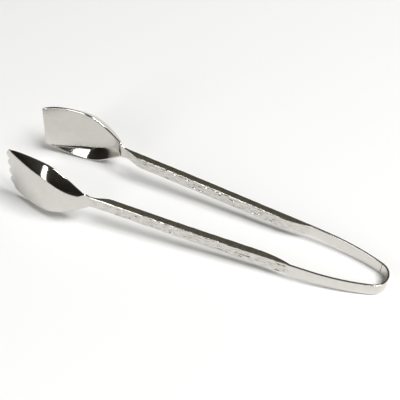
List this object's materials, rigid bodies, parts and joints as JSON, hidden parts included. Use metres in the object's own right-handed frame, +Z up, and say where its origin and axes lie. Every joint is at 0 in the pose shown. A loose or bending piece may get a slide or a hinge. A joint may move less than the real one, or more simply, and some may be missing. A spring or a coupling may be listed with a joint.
{
  "type": "serving tongs",
  "caption": "One-piece sprung serving tongs lying on edge: U-shaped bow, hammered arms, a toothed fork head and a square-ended spoon head.",
  "frame": {"origin": "centre of the footprint, on the surface that the tongs lie on", "axes": "+X along the tongs to the crown of the bow, tips at -X; +Y from the fork leg to the spoon leg; +Z up from the surface that they lie on, on edge"},
  "size_m": [0.2486, 0.0638, 0.0448],
  "materials": {
    "polished_steel": "mirror-polished stainless steel, faintly satin from use",
    "hammered_steel": "polished stainless steel with a hammered grip, long shallow hammer marks on the inner and outer faces"
  },
  "bodies": {
    "bow": {"bow_crown": "polished_steel"},
    "fork_leg": {"fork_spring": "polished_steel", "fork_arm": "hammered_steel", "fork_head": "polished_steel"},
    "spoon_leg": {"spoon_spring": "polished_steel", "spoon_arm": "hammered_steel", "spoon_head": "polished_steel"}
  },
  "joints": [
    {"name": "fork_flex", "type": "hinge", "parent": "bow", "child": "fork_leg", "pos_m": [0.09619, -0.01406, 0.00666], "axis": [-0.0817, 0, -0.9967], "range_deg": [-2, 4.9], "stiffness_Nm_per_rad": 5},
    {"name": "spoon_flex", "type": "hinge", "parent": "bow", "child": "spoon_leg", "pos_m": [0.09619, 0.01406, 0.00666], "axis": [0.0817, 0, 0.9967], "range_deg": [-2, 5], "stiffness_Nm_per_rad": 5}
  ]
}
